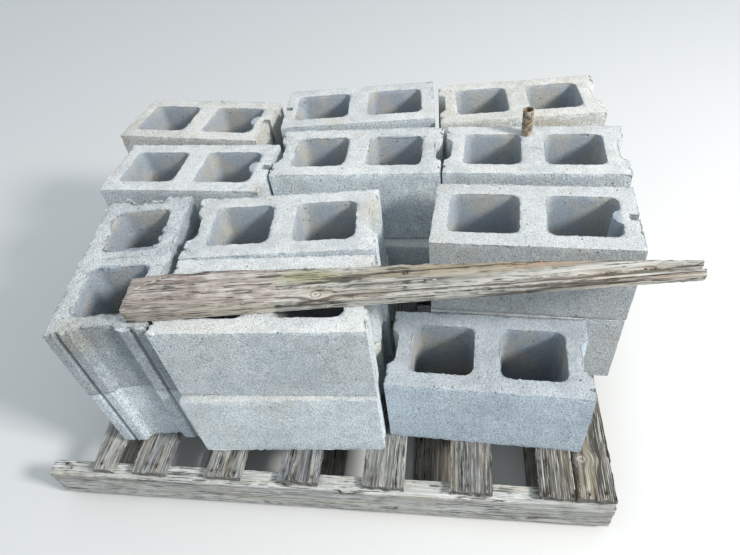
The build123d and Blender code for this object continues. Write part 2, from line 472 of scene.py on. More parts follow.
def rod_of(radius, low, high, middle, name, sides):
    """A round bar that stands upright."""
    place = (middle[0], middle[1], (low + high) / 2)
    bpy.ops.mesh.primitive_cylinder_add(vertices=sides, radius=radius, depth=high - low, location=place)
    bpy.ops.object.transform_apply()
    bpy.context.object.name = name
    return bpy.context.object


def modify(obj, kind, **settings):
    """Adds a modifier and applies it."""
    only(obj)
    modifier = obj.modifiers.new(kind.lower(), kind)
    for name, value in settings.items():
        setattr(modifier, name, value)
    bpy.ops.object.modifier_apply(modifier=modifier.name)


def joined(pieces, name):
    only(pieces[0])
    for piece in pieces:
        piece.select_set(True)
    if len(pieces) > 1:
        bpy.ops.object.join()
    pieces[0].name = name
    return pieces[0]


def cut(obj, cutters):
    """Takes the cutting shapes out of a piece."""
    cutter = joined(cutters, "cutter")
    modify(obj, "BOOLEAN", operation="DIFFERENCE", object=cutter, solver="EXACT")
    bpy.data.objects.remove(cutter)


def soften(obj, width, segments=2):
    """Breaks the sharp edges."""
    modify(
        obj, "BEVEL", width=width, segments=segments, limit_method="ANGLE",
        angle_limit=SOFTENED_ANGLE, use_clamp_overlap=False,
    )


def steps(low, high, spacing):
    """Even places from low to high, a little inside both."""
    count = max(1, round((high - low) / spacing))
    return [low + (high - low) * (i + 0.5) / count for i in range(count)]


def slice_up(obj, way, places):
    """Cuts the mesh by planes across one direction, so that it can take fine relief."""
    open_up(obj)
    way = Vector(way)
    for place in places:
        bpy.ops.mesh.select_all(action="SELECT")
        bpy.ops.mesh.bisect(plane_co=way * place, plane_no=way)
    close(obj)


def trim(obj, first, second):
    """Cuts off what lies to the left of the line from one point to the other, in plan."""
    ahead = Vector((second[0] - first[0], second[1] - first[1], 0)).normalized()
    open_up(obj)
    bpy.ops.mesh.select_all(action="SELECT")
    bpy.ops.mesh.bisect(
        plane_co=(*first, 0), plane_no=(-ahead.y, ahead.x, 0), use_fill=True, clear_outer=True
    )
    close(obj)


def crack(obj, start, end, depth, half_width, lowest):
    """Opens a crack along a line in plan, in the faces that look up and lie above lowest."""
    start = Vector((*start, 0))
    ahead = Vector((*end, 0)) - start
    length = ahead.length
    ahead.normalize()
    side = Vector((-ahead.y, ahead.x, 0))
    open_up(obj)
    for offset in (-half_width, 0, half_width):
        bpy.ops.mesh.select_all(action="SELECT")
        bpy.ops.mesh.bisect(plane_co=start + side * offset, plane_no=side)
    for margin, share in ((0.0, 0.45), (0.15, 0.55)):
        low, high = margin * length, (1 - margin) * length

        def on_crack(vert):
            reach = vert.co - start
            if vert.normal.z < 0.35 or abs(reach.dot(side)) > half_width * 0.3:
                return False
            return low - TINY <= reach.dot(ahead) <= high + TINY and vert.co.z > lowest

        pick(obj, "VERT", on_crack)
        bpy.ops.transform.translate(value=(0, 0, -depth * share))
    close(obj)


def shift_part(obj, rule, move):
    """Moves the corners that the rule holds for."""
    open_up(obj)
    pick(obj, "VERT", rule)
    bpy.ops.transform.translate(value=move)
    close(obj)


def pinch(obj, side):
    """Brings one end face together into an edge, so that a block becomes a wedge."""
    open_up(obj)
    pick(obj, "FACE", lambda face: face.normal.x * side > 0.9)
    bpy.ops.transform.resize(value=(1, 0, 1))
    bpy.ops.mesh.select_all(action="SELECT")
    bpy.ops.mesh.remove_doubles(threshold=NEAR / 10)
    return close(obj)


def edge_group(obj, upright=1.0):
    """A vertex group that holds the edges, and less of what is next to them. Upright says how
    much of that is left between the top rim and the bottom rim."""
    open_up(obj)
    bpy.ops.mesh.select_mode(type="EDGE")
    bpy.ops.mesh.edges_select_sharp(sharpness=SHARP_ANGLE)
    bpy.ops.mesh.select_mode(type="VERT")
    close(obj)
    sharp = {vertex.index for vertex in obj.data.vertices if vertex.select}
    group = obj.vertex_groups.new(name="edges")
    near = set()
    for edge in obj.data.edges:
        if not sharp.isdisjoint(edge.vertices):
            near.update(edge.vertices)
    heights = [vertex.co.z for vertex in obj.data.vertices]
    low, high = min(heights) + RIM, max(heights) - RIM
    for indices, weight in ((near - sharp, 0.4), (sharp, 1.0)):
        rim = {index for index in indices if not low < heights[index] < high}
        group.add(list(rim), weight, "REPLACE")
        group.add(list(indices - rim), weight * upright, "REPLACE")


def cloud(name, size, depth, contrast):
    """A soft noise that wears surfaces. Size is that of its lumps."""
    texture = bpy.data.textures.new(name, "CLOUDS")
    texture.noise_scale = size
    texture.noise_depth = depth
    texture.contrast = contrast
    return texture


grain_cloud = cloud("grain_cloud", 0.011, 3, 1.6)
edge_cloud = cloud("edge_cloud", 0.009, 2, 2.2)
chip_cloud = cloud("chip_cloud", 0.010, 2, 0.8)
wave_cloud = cloud("wave_cloud", 0.09, 1, 1.2)
grain_fine = cloud("wood_grain_fine", 0.0045, 2, 1.5)
grain_broad = cloud("wood_grain_broad", 0.016, 2, 1.3)
end_cloud = cloud("end_cloud", 0.012, 2, 1.4)


def roughen(obj, texture, strength, group="", along=None):
    """Wears a surface inwards by up to strength. Along is the pattern's scale and turn."""
    settings = {"texture": texture, "strength": strength, "mid_level": 1.0, "vertex_group": group}
    if along is None:
        modify(obj, "DISPLACE", texture_coords="LOCAL", **settings)
        return
    guide = bpy.data.objects.new("grain_guide", None)
    scene.collection.objects.link(guide)
    guide.scale, guide.rotation_euler = along
    bpy.context.view_layer.update()
    modify(obj, "DISPLACE", texture_coords="OBJECT", texture_coords_object=guide, **settings)
    bpy.data.objects.remove(guide)


def chipped(obj, spots):
    """Breaks small bits away: each spot is a point, a radius and a depth."""
    deepest = max(spot[2] for spot in spots)
    tree = kdtree.KDTree(len(obj.data.vertices))
    for vertex in obj.data.vertices:
        tree.insert(vertex.co, vertex.index)
    tree.balance()
    weights = {}
    for point, radius, depth in spots:
        for _, index, apart in tree.find_range(point, radius):
            weight = depth / deepest * (1 - (apart / radius) ** 2)
            weights[index] = max(weights.get(index, 0), weight)
    group = obj.vertex_groups.new(name="chips")
    for index, weight in weights.items():
        group.add([index], weight, "REPLACE")
    modify(
        obj, "DISPLACE", texture=chip_cloud, texture_coords="LOCAL", strength=-deepest, mid_level=0.0,
        vertex_group="chips",
    )


def mark(obj, name, rule):
    """Writes a value from 0 to 1 at each corner, for the finish to read."""
    layer = obj.data.attributes.new(name, "FLOAT", "POINT")
    layer.data.foreach_set("value", [rule(vertex.co) for vertex in obj.data.vertices])


def fade(apart, reach):
    """1 at a spot, falling evenly to 0 at its reach."""
    return max(0.0, 1 - apart / reach)


def copied(obj, name):
    twin = obj.copy()
    twin.data = obj.data.copy()
    scene.collection.objects.link(twin)
    twin.name = name
    twin.data.name = name
    return twin


def set_down(obj, place, turn=0):
    """Turns and moves a piece in its mesh, so that its object stays at the origin."""
    only(obj)
    obj.location = place
    obj.rotation_euler = (0, 0, math.radians(turn))
    bpy.ops.object.transform_apply()


def finished(obj, material, node=None, angle=40):
    """Gives a piece its finish, and puts it in the frame."""
    only(obj)
    bpy.ops.object.shade_smooth_by_angle(angle=math.radians(angle))
    obj.vertex_groups.clear()
    obj.data.materials.append(material)
    if node:
        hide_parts(node)
    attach(obj, "root")


# Concrete blocks

HALF_LENGTH = 0.1985
HALF_WIDTH = 0.097
BLOCK_HEIGHT = 0.194
HALF_WEB = 0.0275
CORE_END = 0.1515
PLAIN_CORE_END = 0.1635
HALF_CORE = 0.0595
CORE_CORNER = 0.018
CORE_GROWTH = 0.00406
RECESS_DEPTH = 0.015
RECESS_FLOOR = 0.030
RECESS_OUT = 0.064
GROOVE_AT = 0.071
GROOVE_DEPTH = 0.005
GROOVE_OUT = 0.012
SLOT_WIDTH = 0.012
SLOT_DEPTH = 0.017
BOSS_RADIUS = 0.024
BOSS_AT = 0.1705
RECESS_CORNER = 0.0023
BLOCK_EDGE = 0.0011
# How far a cutter reaches past the block.
PAST = 0.005
# How far apart the lines of a block's mesh are: where it is seen closely, and elsewhere.
FINE = 0.0056
PLAIN = 0.0085


def bar_through(first_x, second_x, y, half_width, name):
    """A bar that runs through a block from below it to above it."""
    low, high = sorted((first_x, second_x))
    return block_of((low, y - half_width, -PAST), (high, y + half_width, BLOCK_HEIGHT + PAST), name)


def stands(edge):
    """Whether an edge runs from a cutter's bottom to its top."""
    return abs(edge.verts[0].co.z - edge.verts[1].co.z) > BLOCK_HEIGHT / 2


def core_cutter(side, outer, boss):
    """The hole through a block, rounded in its corners and wider at its bottom."""
    cutter = bar_through(side * HALF_WEB, side * outer, 0, HALF_CORE, "core_cutter")
    open_up(cutter)
    pick(cutter, "EDGE", stands)
    bpy.ops.mesh.bevel(offset=CORE_CORNER, segments=5, affect="EDGES")
    pick(cutter, "FACE", lambda face: face.normal.z < -0.9)
    wider = (1 + 2 * CORE_GROWTH / (outer - HALF_WEB), 1 + CORE_GROWTH / HALF_CORE, 1)
    bpy.ops.transform.resize(value=wider)
    close(cutter)
    if boss:
        middle = (side * BOSS_AT, 0)
        cut(cutter, [rod_of(BOSS_RADIUS, -2 * PAST, BLOCK_HEIGHT + 2 * PAST, middle, "boss", 44)])
    return cutter


def recess_cutter(side):
    """The shallow recess in a flanged end, with sloping sides."""
    floor_x = side * (HALF_LENGTH - RECESS_DEPTH)
    out_x = side * (HALF_LENGTH + RECESS_DEPTH)
    cutter = bar_through(floor_x, out_x, 0, RECESS_FLOOR, "recess_cutter")
    open_up(cutter)
    pick(cutter, "FACE", lambda face: face.normal.x * side > 0.9)
    bpy.ops.transform.resize(value=(1, RECESS_OUT / RECESS_FLOOR, 1))
    pick(cutter, "EDGE", lambda edge: stands(edge) and abs(edge.verts[0].co.x - floor_x) < NEAR)
    bpy.ops.mesh.bevel(offset=RECESS_CORNER, segments=2, affect="EDGES")
    return close(cutter)


def groove_cutter(side, y):
    """One V groove down a flanged end."""
    floor_x = side * (HALF_LENGTH - GROOVE_DEPTH)
    out_x = side * (HALF_LENGTH + GROOVE_DEPTH)
    return pinch(bar_through(floor_x, out_x, y, GROOVE_OUT, "groove_cutter"), -side)


def slot_cutter():
    """The slot in a flat end."""
    return bar_through(HALF_LENGTH - SLOT_DEPTH, HALF_LENGTH + PAST, 0, SLOT_WIDTH / 2, "slot_cutter")


def in_groove(point):
    """How much painted shade darkens the bottom of a V groove and the corners of a recess."""
    out, across = abs(point.x), abs(point.y)
    if out >= HALF_LENGTH - GROOVE_DEPTH * 0.5:
        return 0.0
    if abs(across - GROOVE_AT) < 3 * NEAR and out > HALF_LENGTH - GROOVE_DEPTH - NEAR:
        return 1.0
    if abs(across - RECESS_FLOOR) < 2 * NEAR and out > HALF_LENGTH - RECESS_DEPTH - NEAR:
        return 0.3
    return 0.0


def in_slot(point):
    """How much painted shade darkens the slot."""
    within = point.x > HALF_LENGTH - SLOT_DEPTH - NEAR and abs(point.y) < SLOT_WIDTH / 2 + 0.6 * NEAR
    return 0.7 if within else 0.0


def in_core(point, outer):
    """1 on a core's walls, 0 on the rest of the block."""
    growth = CORE_GROWTH * (1 - point.z / BLOCK_HEIGHT) + 1.2 * NEAR
    across = abs(point.y) < HALF_CORE + growth
    along = HALF_WEB - growth < abs(point.x) < outer + growth
    return 1.0 if across and along else 0.0


def cast_block(slotted, spacing):
    """A two-core block standing on z = 0, with its slot, if any, at its right end."""
    block = block_of(
        (-HALF_LENGTH, -HALF_WIDTH, 0), (HALF_LENGTH, HALF_WIDTH, BLOCK_HEIGHT), "cast_block"
    )
    cutters = []
    outer = PLAIN_CORE_END if slotted else CORE_END
    for side in (-1, 1):
        cutters.append(core_cutter(side, outer, boss=slotted and side > 0))
        if not slotted:
            cutters.append(recess_cutter(side))
            cutters.append(groove_cutter(side, -GROOVE_AT))
            cutters.append(groove_cutter(side, GROOVE_AT))
    if slotted:
        cutters.append(slot_cutter())
    cut(block, cutters)
    soften(block, BLOCK_EDGE)
    slice_up(block, X, steps(-HALF_LENGTH, HALF_LENGTH, spacing))
    slice_up(block, Y, steps(-HALF_WIDTH, HALF_WIDTH, spacing))
    slice_up(block, Z, steps(0, BLOCK_HEIGHT, spacing))
    edge_group(block, upright=0.15)
    # Marks the core walls, which the finish paints in a darker, bluer shade.
    mark(block, "inside", lambda point: in_core(point, outer))
    # The dirt mark is painted shade in the grooves, the recess corners and the slot.
    mark(block, "dirt", in_slot if slotted else in_groove)
    return block


casts = {
    (kind, spacing): cast_block(kind == "slot", spacing)
    for kind in ("stretcher", "slot") for spacing in (FINE, PLAIN)
}

PALE = dict(face=(232, 234, 232), shade=(208, 212, 213), stain=(190, 178, 152), stained=0.25)
COARSE = dict(
    face=(228, 232, 232), shade=(200, 206, 209), stain=(186, 172, 146), stained=0.2, coarse=1.5
)
WARM = dict(
    face=(235, 234, 229), shade=(214, 213, 206), stain=(200, 184, 160), stained=0.45, side_sky_tint=(0.99, 1, 1)
)
GREY = dict(
    face=(200, 208, 213), shade=(177, 186, 192), stain=(170, 166, 160), stained=0.15, coarse=1.2
)
DUSTY = dict(PALE, face=(221, 224, 223), side_sky_tint=(0.985, 1.0, 1.01))
# Kind, turn in degrees, how rough the faces and the edges are, and the finish.
BLOCKS = {
    "back_left": ("slot", -7.1, 0.0008, 0.0030, WARM),
    "back_middle": ("slot", 183.5, 0.0008, 0.0026, PALE),
    "back_right": ("stretcher", 3.4, 0.0008, 0.0026, WARM),
    "second_row_left": ("slot", -2.7, 0.0008, 0.0028, PALE),
    "second_row_middle": ("stretcher", -0.9, 0.0012, 0.0034, PALE),
    "second_row_right": ("stretcher", -3.0, 0.0008, 0.0026, PALE),
    "third_row_middle": ("stretcher", 4.0, 0.0010, 0.0032, PALE),
    "third_row_right": ("slot", -3.7, 0.0008, 0.0026, DUSTY),
    "front_middle": ("stretcher", 2.1, 0.0008, 0.0028, PALE),
    "front_left": ("stretcher", 96.5, 0.0018, 0.0044, COARSE),
    "front_right": ("stretcher", -2.8, 0.0010, 0.0030, GREY),
}
LOWER_TURNS = {"third_row_right": 0.7, "front_middle": 1.2, "front_left": -0.9}
# Bits broken away that the others don't have: block, point, radius and depth.
BREAKS = {
    "top_front_middle": [
        ((-0.186, -0.097, 0.194), 0.016, 0.007), ((-0.150, -0.097, 0.188), 0.010, 0.004),
    ],
    "top_second_row_right": [((0.1985, -0.097, 0.190), 0.022, 0.003)],
    "top_second_row_left": [((0.1985, -0.097, 0.194), 0.022, 0.005)],
    "top_third_row_middle": [
        ((-0.1985, -0.097, 0.194), 0.034, 0.008), ((-0.1985, 0.097, 0.194), 0.030, 0.006),
        ((-0.1985, -0.055, 0.190), 0.018, 0.004),
    ],
    "top_front_left": [
        ((0.1985, 0.040, 0.194), 0.026, 0.007), ((0.1985, -0.035, 0.194), 0.022, 0.006),
        ((-0.05, 0.080, 0.194), 0.010, 0.006), ((0.02, -0.062, 0.194), 0.014, 0.005),
    ],
}
# Tan and brown stains: block, point, radius and strength.
STAINS = {
    "top_front_left": [((-0.1985, 0.040, 0.17), 0.07, 0.8)],
    "top_front_middle": [((0.1985, 0.03, 0.17), 0.08, 0.7)],
    "lower_front_middle": [((0.1985, 0.03, 0.15), 0.09, 0.7)],
    "top_third_row_middle": [((0.19, 0.03, 0.18), 0.06, 0.8)],
    "top_second_row_left": [((0.1985, -0.08, 0.18), 0.04, 0.8)],
    "top_back_middle": [((0.06, 0.09, 0.194), 0.05, 0.5)],
    "top_back_right": [((-0.1, -0.097, 0.08), 0.10, 0.7), ((0.06, -0.097, 0.14), 0.07, 0.6)],
}
# Cracks across webs: block, start, end and depth.
WEB_CRACKS = {
    "top_second_row_middle": [
        ((-0.199, 0.002), (-0.150, 0.001), 0.004), ((-0.029, 0.002), (0.029, -0.001), 0.004),
    ],
    "top_second_row_right": [((-0.029, 0.004), (0.029, 0.001), 0.003)],
    "top_front_left": [((0.004, -0.060), (0.001, 0.061), 0.004)],
}
# What has sunk beside two of the cracks: block, from where to where along x and y, and how far.
SUNKEN = {
    "top_second_row_middle": ((-0.2, 0.2), (0.001, 0.1), 0.0016),
    "top_front_left": ((0.002, 0.03), (-0.062, 0.062), 0.0022),
}
# How much paler or darker the upright faces are painted than the tops: partly each block's own tone,
# partly painted shade and light, such as the loose board's shadow on top_third_row_right's front and the
# shade on lower_third_row_right.
SIDE_TONE_AND_SHADE = {
    "top_front_left": 0.72, "lower_front_left": 1.05, "top_front_middle": 0.90,
    "lower_front_middle": 1.12, "lower_front_right": 1.16, "top_third_row_right": 0.76,
    "lower_third_row_right": 0.80, "lower_third_row_middle": 1.05, "top_back_left": 0.86,
    "top_back_middle": 0.86, "top_second_row_left": 0.86, "top_second_row_right": 0.94,
}
WORN_SPOTS = 16
SPOT_RADII = (0.006, 0.016)
SPOT_DEPTHS = (0.0015, 0.0035)
SHARE_ON_TOP = 0.7
SAND_WEAR = 0.0005
WAVE_WEAR = 0.0010
WEB_CRACK = 0.0011
WEB_CRACK_LOWEST = 0.18
SUNKEN_LOWEST = 0.192
TOP_SKIN = 0.004
TINT_SPREAD = 4
SHIFT_SPREAD = 9


def worn_spots(rng):
    """Small bits gone from edges taken at random."""
    spots = []
    for _ in range(WORN_SPOTS):
        x = rng.uniform(-HALF_LENGTH, HALF_LENGTH)
        y = rng.uniform(-HALF_WIDTH, HALF_WIDTH)
        side = rng.choice((-1, 1))
        height = BLOCK_HEIGHT if rng.random() < SHARE_ON_TOP else 0
        point = rng.choice((
            (x, side * HALF_WIDTH, height),
            (x, side * HALF_WIDTH, height),
            (side * HALF_LENGTH, y, height),
            (side * HALF_LENGTH, rng.choice((-1, 1)) * HALF_WIDTH, rng.uniform(0, BLOCK_HEIGHT)),
            (x, side * HALF_CORE, BLOCK_HEIGHT),
        ))
        spots.append((point, rng.uniform(*SPOT_RADII), rng.uniform(*SPOT_DEPTHS)))
    return spots


def crack_webs(block, key):
    """Lowers what has sunk, and opens the cracks across the webs."""
    if key in SUNKEN:
        (left, right), (front, back), drop = SUNKEN[key]

        def sunken(vert):
            x, y, z = vert.co
            return left < x < right and front < y < back and z > SUNKEN_LOWEST

        shift_part(block, sunken, (0, 0, -drop))
    for start, end, depth in WEB_CRACKS.get(key, []):
        crack(block, start, end, depth, WEB_CRACK, WEB_CRACK_LOWEST)


def lay_block(layer, name, number):
    """A block of the load, in its node's place."""
    kind, turn, rough, wear, look = BLOCKS[name]
    key = f"{layer}_{name}"
    node = f"{layer}_block_{name}"
    low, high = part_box(node)
    spacing = FINE if layer == "top" or name == "front_right" else PLAIN
    if layer == "lower":
        turn += LOWER_TURNS.get(name, 0)
    block = copied(casts[kind, spacing], node + "_cast")
    crack_webs(block, key)
    place = ((low.x + high.x) / 2, (low.y + high.y) / 2, low.z)
    rng = random.Random(number)
    to_place = Matrix.Translation(place) @ Matrix.Rotation(math.radians(turn), 4, "Z")

    def placed(spots):
        return [(to_place @ Vector(point), radius, amount) for point, radius, amount in spots]

    spots = placed(worn_spots(rng) + BREAKS.get(key, []))
    stains = placed(STAINS.get(key, []))
    set_down(block, place, turn)
    mark(block, "stain", lambda point: max(
        [strength * fade((point - spot).length, radius) for spot, radius, strength in stains] + [0.0]))
    skin = [vertex.index for vertex in block.data.vertices if vertex.co.z > high.z - TOP_SKIN]
    block.vertex_groups.new(name="top").add(skin, 1.0, "REPLACE")
    roughen(block, grain_cloud, rough, "top")
    roughen(block, grain_cloud, SAND_WEAR)
    roughen(block, edge_cloud, wear, "edges")
    roughen(block, wave_cloud, WAVE_WEAR)
    chipped(block, spots)
    tint = rng.uniform(-TINT_SPREAD, TINT_SPREAD)
    shift = [rng.uniform(-SHIFT_SPREAD, SHIFT_SPREAD) for _ in range(3)]
    look = dict(look, sides=SIDE_TONE_AND_SHADE.get(key, 1.0), shift=shift)
    for part in ("face", "shade"):
        look[part] = tuple(value + tint for value in look[part])
    finished(block, concrete(f"concrete_{key}", **look), node)


number = 0
for layer in ("top", "lower"):
    for name in BLOCKS:
        number += 1
        if (layer, name) != ("top", "front_right"):
            lay_block(layer, name, number)
for cast in casts.values():
    bpy.data.objects.remove(cast)


# Pallet

# How far the grain's pattern is stretched, and its turn.
ALONG_X = ((14, 1, 1), (0, 0, 0))
ALONG_Y = ((1, 14, 1), (0, 0, 0))

# Deck boards, left to right: light and dark tone, and in plan their nails and cracks.
DECK_BOARDS = [
    ((206, 206, 200), (150, 149, 142), [(-0.482, -0.483)], []),
    ((172, 176, 178), (112, 115, 116), [(-0.376, -0.479), (-0.352, -0.480)],
     [((-0.400, -0.504), (-0.398, -0.290)), ((-0.352, -0.504), (-0.353, -0.430))]),
    ((180, 182, 180), (124, 124, 120),
     [(-0.223, -0.485), (-0.204, -0.485), (-0.183, -0.482), (-0.172, -0.487)],
     [((-0.212, -0.504), (-0.209, -0.400))]),
    ((146, 150, 155), (88, 91, 94), [(-0.063, -0.476), (-0.002, -0.487)],
     [((-0.052, -0.504), (-0.050, -0.330)), ((-0.012, -0.470), (-0.010, -0.300))]),
    ((170, 172, 169), (112, 113, 109), [(0.125, -0.483), (0.176, -0.490)],
     [((0.176, -0.504), (0.177, -0.400))]),
    ((149, 151, 149), (88, 89, 88), [(0.322, -0.487), (0.360, -0.489)],
     [((0.310, -0.504), (0.311, -0.420))]),
    ((128, 125, 115), (60, 58, 53), [(0.474, -0.494), (0.526, -0.493)], []),
    ((108, 106, 93), (56, 54, 47), [(0.557, -0.488), (0.590, -0.484)], []),
]
STRINGER_NAILS = [(-0.577, -0.481), (-0.561, -0.489), (-0.520, -0.483)]
# How much of a board's left and right edge has worn off, where two boards lie side by side.
NARROWED = {"deck_board_7": (0, 0.0012), "deck_board_8": (0.0012, 0)}
# How far the last board's lower left edge leans towards its neighbour.
LAST_BOARD_LEAN = 0.0032
LEAD_BOARD_EDGE = ((-0.5005, -0.503), (-0.5915, 0.408))
NAIL_RUST_REACH = 0.009
HOLE_RUST_REACH = 0.006
BOARD_EDGE = 0.0016
BOARD_CRACK = 0.0009
BOARD_CRACK_DEPTH = 0.004
BOARD_CRACK_LOWEST = 0.005
# How deep fine and broad grain are worn, and the edges.
BOARD_WEAR = (0.0011, 0.0007, 0.0020)
END_WEAR = 0.007
END_WEAR_REACH = 0.03
# How far apart the lines of a board's mesh are.
ALONG_SPACING = 0.007
ACROSS_SPACING = 0.003
HEIGHT_SPACING = 0.005
BOTTOM_SPACING = dict(across=0.008, ahead=0.02, hidden=0.04)
STRINGER_SPACING = dict(across=0.006, ahead=0.010)
# How much of a deck board's near and far end the blocks leave bare.
NEAR_PART = 0.16
FAR_PART = 0.08
CORNER_RADII = (0.006, 0.014)
CORNER_DEPTHS = (0.002, 0.006)
CHIPS = 6
CHIP_REACH = 0.12
CHIP_DEPTHS = (0.001, 0.004)


def rust_around(obj, nails, reach):
    """Marks the rust that has run into the wood around nails or nail holes."""
    spots = [Vector(place) for place in nails]
    mark(obj, "rust", lambda point: max([fade((point.xy - spot).length, reach) for spot in spots] + [0.0]))


def break_ends(board, low, high):
    """Wears a board's ends back, unevenly across them."""
    for group_name, end, strength in (("near_end", low, END_WEAR), ("far_end", high, -END_WEAR)):
        group = board.vertex_groups.new(name=group_name)
        for vertex in board.data.vertices:
            group.add([vertex.index], fade(abs(vertex.co.y - end), END_WEAR_REACH), "REPLACE")
        modify(
            board, "DISPLACE", texture=end_cloud, texture_coords="LOCAL", strength=strength, mid_level=0.0,
            direction="Y", vertex_group=group_name,
        )


def weather(board, guide, fine, broad, edges):
    """Wears a board along its grain, and most at its edges."""
    roughen(board, grain_fine, fine, along=guide)
    roughen(board, grain_broad, broad, along=guide)
    roughen(board, edge_cloud, edges, "edges")


def board_chips(rng, low, high, along):
    """Bits gone from a board's upper corners and edges."""
    spots = []
    for x in (low.x, high.x):
        for y in (low.y, high.y):
            spots.append((Vector((x, y, high.z)), rng.uniform(*CORNER_RADII), rng.uniform(*CORNER_DEPTHS)))
    for _ in range(CHIPS):
        x = rng.choice((low.x, high.x)) if along == "y" else rng.uniform(low.x, high.x)
        y = rng.uniform(low.y, low.y + CHIP_REACH) if along == "y" else rng.choice((low.y, high.y))
        spots.append((Vector((x, y, high.z)), rng.uniform(*SPOT_RADII), rng.uniform(*CHIP_DEPTHS)))
    return spots


def saw_board(node, along, number, material, slot, nails=(), cracks=(), across=ACROSS_SPACING,
              ahead=ALONG_SPACING, hidden=0.03):
    """A board in its node's box, with chips drawn from its number. Across, ahead and hidden are
    the mesh's spacing across the grain, along it, and along it under the blocks."""
    low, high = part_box(node)
    left, right = NARROWED.get(node, (0, 0))
    board = block_of((low.x + left, low.y, low.z), (high.x - right, high.y, high.z), node + "_sawn")
    if node == "deck_board_1":
        trim(board, *LEAD_BOARD_EDGE)
    elif node == "deck_board_8":
        middle_x = (low.x + high.x) / 2
        shift_part(
            board, lambda vert: vert.co.x < middle_x and vert.co.z < low.z + NEAR, (-LAST_BOARD_LEAN, 0, 0)
        )
    soften(board, BOARD_EDGE)
    if along == "y":
        near_end, far_start = low.y + NEAR_PART, high.y - FAR_PART
        places = steps(low.y, near_end, ahead) + steps(near_end, far_start, hidden)
        slice_up(board, Y, places + steps(far_start, high.y, ahead))
        slice_up(board, X, steps(low.x, high.x, across))
    else:
        slice_up(board, X, steps(low.x, high.x, ahead))
        slice_up(board, Y, steps(low.y, high.y, across))
    slice_up(board, Z, steps(low.z, high.z, HEIGHT_SPACING))
    for start, end in cracks:
        crack(board, start, end, BOARD_CRACK_DEPTH, BOARD_CRACK, low.z + BOARD_CRACK_LOWEST)
    edge_group(board)
    rust_around(board, nails, NAIL_RUST_REACH)
    weather(board, ALONG_Y if along == "y" else ALONG_X, *BOARD_WEAR)
    if along == "y":
        break_ends(board, low.y, high.y)
    chipped(board, board_chips(random.Random(100 + number), low, high, along))
    finished(board, material, node)


BOARD_TINT = (176, 164, 140)
# Light and dark tone, and tint.
BOTTOM_LOOK = ((166, 163, 152), (112, 108, 98), (140, 126, 108))
STRINGER_LOOK = ((232, 233, 229), (196, 197, 191), (204, 198, 180))
# The knot in the last deck board.
KNOT_X = 0.552
KNOT_Y = -0.414
KNOT_RADIUS = 0.009

# The pattern is shifted from board to board, so that no two deck boards look the same.
for number, (light, dark, nails, cracks) in enumerate(DECK_BOARDS):
    node = f"deck_board_{number + 1}"
    wood = sawn_wood(
        f"wood_{node}", light, dark, BOARD_TINT, "y", (-number, 0, 0), lively=1.25,
        knots=[(KNOT_X + number, KNOT_Y, KNOT_RADIUS)] if node == "deck_board_8" else [],
    )
    saw_board(node, "y", number, wood, "board_wood", nails, cracks)
wood = sawn_wood("wood_bottom_boards", *BOTTOM_LOOK, "y", (20, 0, 0))
for number in range(1, 6):
    node = f"bottom_board_{number}"
    saw_board(node, "y", 20 + number, wood, "board_wood", **BOTTOM_SPACING)
for number, node in enumerate(("stringer_front", "stringer_middle", "stringer_back")):
    nails = STRINGER_NAILS if node == "stringer_front" else ()
    wood = sawn_wood(f"wood_{node}", *STRINGER_LOOK, "x", (0, 0, number + 3), lively=0.55, ringed=0.15)
    saw_board(node, "x", 40 + number, wood, "stringer_wood", nails, **STRINGER_SPACING)


NAIL_RADIUS = 0.0042
NAIL_RING = 0.0014
NAIL_SUNK = 0.0013
NAIL_SPREAD = 0.0006
NAIL_STRAY = 0.006


def nail_head():
    """A nail's flat head, a little domed, with its rim broken."""
    head = rod_of(NAIL_RADIUS, -0.0012, 0.0003, (0, 0), "nail_pattern", 12)
    open_up(head)
    pick(head, "FACE", lambda face: face.normal.z > 0.9)
    for rise in (0.0003, 0.0002):
        bpy.ops.mesh.inset(thickness=NAIL_RING, depth=rise)
    close(head)
    soften(head, 0.0003, 1)
    return head


rust = nail_finish()
pattern = nail_head()
# Number 0 is the front stringer. A deck board also has nails at its far end.
for number, places in enumerate([STRINGER_NAILS] + [nails for _, _, nails, _ in DECK_BOARDS]):
    rng = random.Random(200 + number)
    node = f"deck_board_{number}" if number else "stringer_front"
    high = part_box(node)[1]
    if number:
        places = places + [(x + rng.uniform(-NAIL_STRAY, NAIL_STRAY), -y - NAIL_STRAY) for x, y in places]
    heads = []
    for x, y in places:
        head = copied(pattern, "nail")
        set_down(head, (x, y, high.z - NAIL_SUNK - rng.uniform(0, NAIL_SPREAD)), rng.uniform(0, 90))
        heads.append(head)
    finished(joined(heads, f"nails_{node}"), rust)
bpy.data.objects.remove(pattern)


# Loose board

PLANK_PLACE = (-0.29001, -0.40201)
PLANK_TURN = 6.6
PLANK_LENGTH = 1.018
PLANK_WIDTH = 0.089
PLANK_HEIGHT = 0.038
# Its top slopes down to a bend, and less from there on: how far down at the bend and at the end.
PLANK_BEND = 0.390
PLANK_SLOPES = {PLANK_BEND: 0.014, PLANK_LENGTH: 0.018}
# The curve that its back is split along.
PLANK_BACK = [
    (0.150, 0.0888), (0.270, 0.0870), (0.390, 0.0833), (0.490, 0.0785), (0.584, 0.0722),
    (0.690, 0.0650), (0.800, 0.0570), (0.910, 0.0470), (1.020, 0.0356),
]
PLANK_FORK = ((0.938, 0.0145, -0.01), (1.023, 0.0275, 0.05))
PLANK_NAIL_HOLES = [(0.507, 0.054), (0.506, 0.017), (0.414, 0.006)]
NAIL_HOLE = 0.0021
PLANK_EDGE = 0.0018
PLANK_WEAR = (0.0012, 0.0010, 0.0030)
